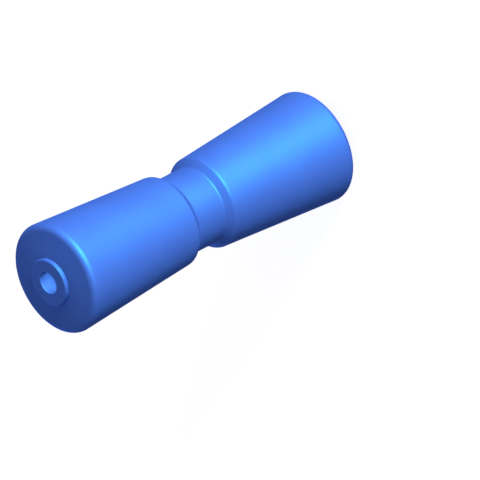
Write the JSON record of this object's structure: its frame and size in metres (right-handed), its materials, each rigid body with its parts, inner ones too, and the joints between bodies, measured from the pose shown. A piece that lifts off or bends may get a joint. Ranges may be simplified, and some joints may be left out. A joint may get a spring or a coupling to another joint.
{
  "type": "boat trailer roller",
  "caption": "Moulded keel roller with a through bore, flared from a necked groove to rounded rims, with a flat boss on each end face.",
  "frame": {"origin": "middle of the lower boss's face, on which the roller stands", "axes": "+Z along the bore, from the lower end to the upper one; X and Y are alike, because the roller is turned about +Z"},
  "size_m": [0.0636, 0.0636, 0.2032],
  "materials": {
    "roller": "satin"
  },
  "bodies": {
    "root": {"roller": "roller"}
  },
  "joints": []
}
